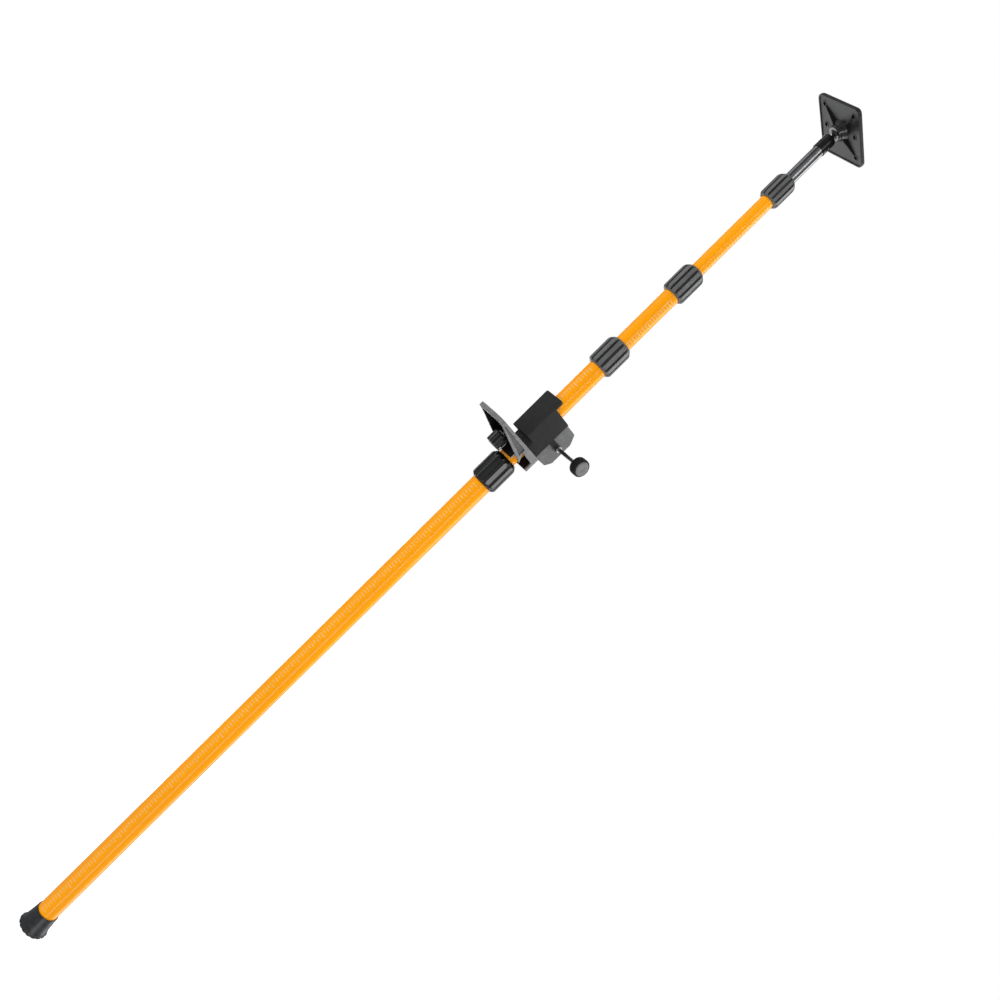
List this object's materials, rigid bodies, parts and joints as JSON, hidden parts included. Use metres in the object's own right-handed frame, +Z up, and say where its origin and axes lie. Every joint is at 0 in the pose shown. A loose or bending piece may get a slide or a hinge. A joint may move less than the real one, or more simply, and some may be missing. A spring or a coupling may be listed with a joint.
{
  "type": "telescopic laser level pole",
  "caption": "Telescopic floor-to-ceiling pole with twist-lock collars, a rubber foot, a tilting ceiling plate and a clamp bracket with a platform for a laser level.",
  "frame": {"origin": "centre of the foot's underside", "axes": "+Z up along the pole, +X towards the clamp screw's knob, -Y towards the front of the instrument platform"},
  "size_m": [0.1248, 0.143, 1.6316],
  "materials": {
    "orange_paint": "satin orange coat on aluminium tube, with a printed scale",
    "black_collar": "satin moulded plastic",
    "inner_plastic": "plain moulded plastic",
    "foot_rubber": "matte",
    "pad_rubber": "matte",
    "dark_rod": "dark fluted metal",
    "head_plastic": "satin moulded plastic",
    "bright_steel": "plated",
    "clamp_black": "black satin coat on a casting",
    "knob_black": "ribbed moulded plastic",
    "platform_grey": "grey satin coat on a casting"
  },
  "bodies": {
    "base": {"rubber_foot": "foot_rubber", "outer_tube": "orange_paint", "lock_1_collet": "inner_plastic"},
    "collar_1": {"lock_1_collar": "black_collar"},
    "stage_2": {"second_tube": "orange_paint", "guide_bush_2": "inner_plastic", "lock_2_collet": "inner_plastic"},
    "collar_2": {"lock_2_collar": "black_collar"},
    "stage_3": {"third_tube": "orange_paint", "guide_bush_3": "inner_plastic", "lock_3_collet": "inner_plastic"},
    "collar_3": {"lock_3_collar": "black_collar"},
    "stage_4": {"fourth_tube": "orange_paint", "guide_bush_4": "inner_plastic", "lock_4_collet": "inner_plastic", "spring_seat": "inner_plastic", "pressure_spring": "bright_steel"},
    "collar_4": {"lock_4_collar": "black_collar"},
    "rod_guide": {"rod_guide_bush": "inner_plastic"},
    "rod": {"top_rod": "dark_rod", "rod_end_sleeve": "head_plastic", "ball_stud": "bright_steel"},
    "plate": {"ceiling_plate": "head_plastic", "ball_retainer": "bright_steel", "grip_pad": "pad_rubber"},
    "liner": {"clamp_liner": "inner_plastic"},
    "clamp": {"clamp_body": "clamp_black", "clamp_nut": "bright_steel", "platform": "platform_grey", "platform_screw_left": "bright_steel", "platform_screw_right": "bright_steel"},
    "clamp_washer": {"clamp_washer": "bright_steel"},
    "clamp_screw": {"clamp_screw": "bright_steel", "clamp_knob": "knob_black"},
    "thrust_washer": {"thrust_washer": "bright_steel"},
    "instrument_screw": {"instrument_stud": "bright_steel", "instrument_knob": "knob_black"}
  },
  "joints": [
    {"name": "collar_1_twist", "type": "hinge", "parent": "base", "child": "collar_1", "pos_m": [0, 0, 0.896], "axis": [0, 0, 1], "range_deg": [0, 120]},
    {"name": "collar_2_twist", "type": "hinge", "parent": "stage_2", "child": "collar_2", "pos_m": [0, 0, 1.128], "axis": [0, 0, 1], "range_deg": [0, 120]},
    {"name": "collar_3_twist", "type": "hinge", "parent": "stage_3", "child": "collar_3", "pos_m": [0, 0, 1.275], "axis": [0, 0, 1], "range_deg": [0, 120]},
    {"name": "collar_4_twist", "type": "hinge", "parent": "stage_4", "child": "collar_4", "pos_m": [0, 0, 1.466], "axis": [0, 0, 1], "range_deg": [0, 120]},
    {"name": "second_tube_slide", "type": "slide", "parent": "base", "child": "stage_2", "axis": [0, 0, 1], "range_m": [-0.002, 0.56]},
    {"name": "third_tube_slide", "type": "slide", "parent": "stage_2", "child": "stage_3", "axis": [0, 0, 1], "range_m": [-0.096, 0.68]},
    {"name": "fourth_tube_slide", "type": "slide", "parent": "stage_3", "child": "stage_4", "axis": [0, 0, 1], "range_m": [-0.139, 0.66]},
    {"name": "rod_slide", "type": "slide", "parent": "stage_4", "child": "rod_guide", "axis": [0, 0, 1], "range_m": [-0.05, 0], "stiffness_N_per_m": 600, "springref_m": 0.03, "deforming": ["pressure_spring"]},
    {"name": "rod_turn", "type": "hinge", "parent": "rod_guide", "child": "rod", "pos_m": [0, 0, 1.4], "axis": [0, 0, 1], "continuous": true},
    {"name": "ceiling_plate_tilt", "type": "hinge", "parent": "rod", "child": "plate", "pos_m": [0, 0, 1.605], "axis": [0.7071, -0.7071, 0], "range_deg": [-15, 45]},
    {"name": "clamp_slide", "type": "slide", "parent": "stage_2", "child": "liner", "axis": [0, 0, 1], "range_m": [0, 0.068]},
    {"name": "clamp_turn", "type": "hinge", "parent": "liner", "child": "clamp", "pos_m": [0, 0, 0.981], "axis": [0, 0, 1], "continuous": true},
    {"name": "clamp_screw_advance", "type": "slide", "parent": "clamp", "child": "clamp_washer", "axis": [1, 0, 0], "range_m": [0, 0.003]},
    {"name": "clamp_knob_turn", "type": "hinge", "parent": "clamp_washer", "child": "clamp_screw", "pos_m": [0.0203, 0.039, 1.009], "axis": [1, 0, 0], "range_deg": [0, 1080]},
    {"name": "instrument_screw_advance", "type": "slide", "parent": "clamp", "child": "thrust_washer", "axis": [0, 0, 1], "range_m": [0, 0.006]},
    {"name": "instrument_knob_turn", "type": "hinge", "parent": "thrust_washer", "child": "instrument_screw", "pos_m": [0, -0.0375, 0.9648], "axis": [0, 0, 1], "range_deg": [0, 1701]}
  ],
  "couplings": [
    {"joint": "clamp_knob_turn", "follows": "clamp_screw_advance", "rad_per_m": 6283.2},
    {"joint": "instrument_knob_turn", "follows": "instrument_screw_advance", "rad_per_m": 4947.4}
  ]
}
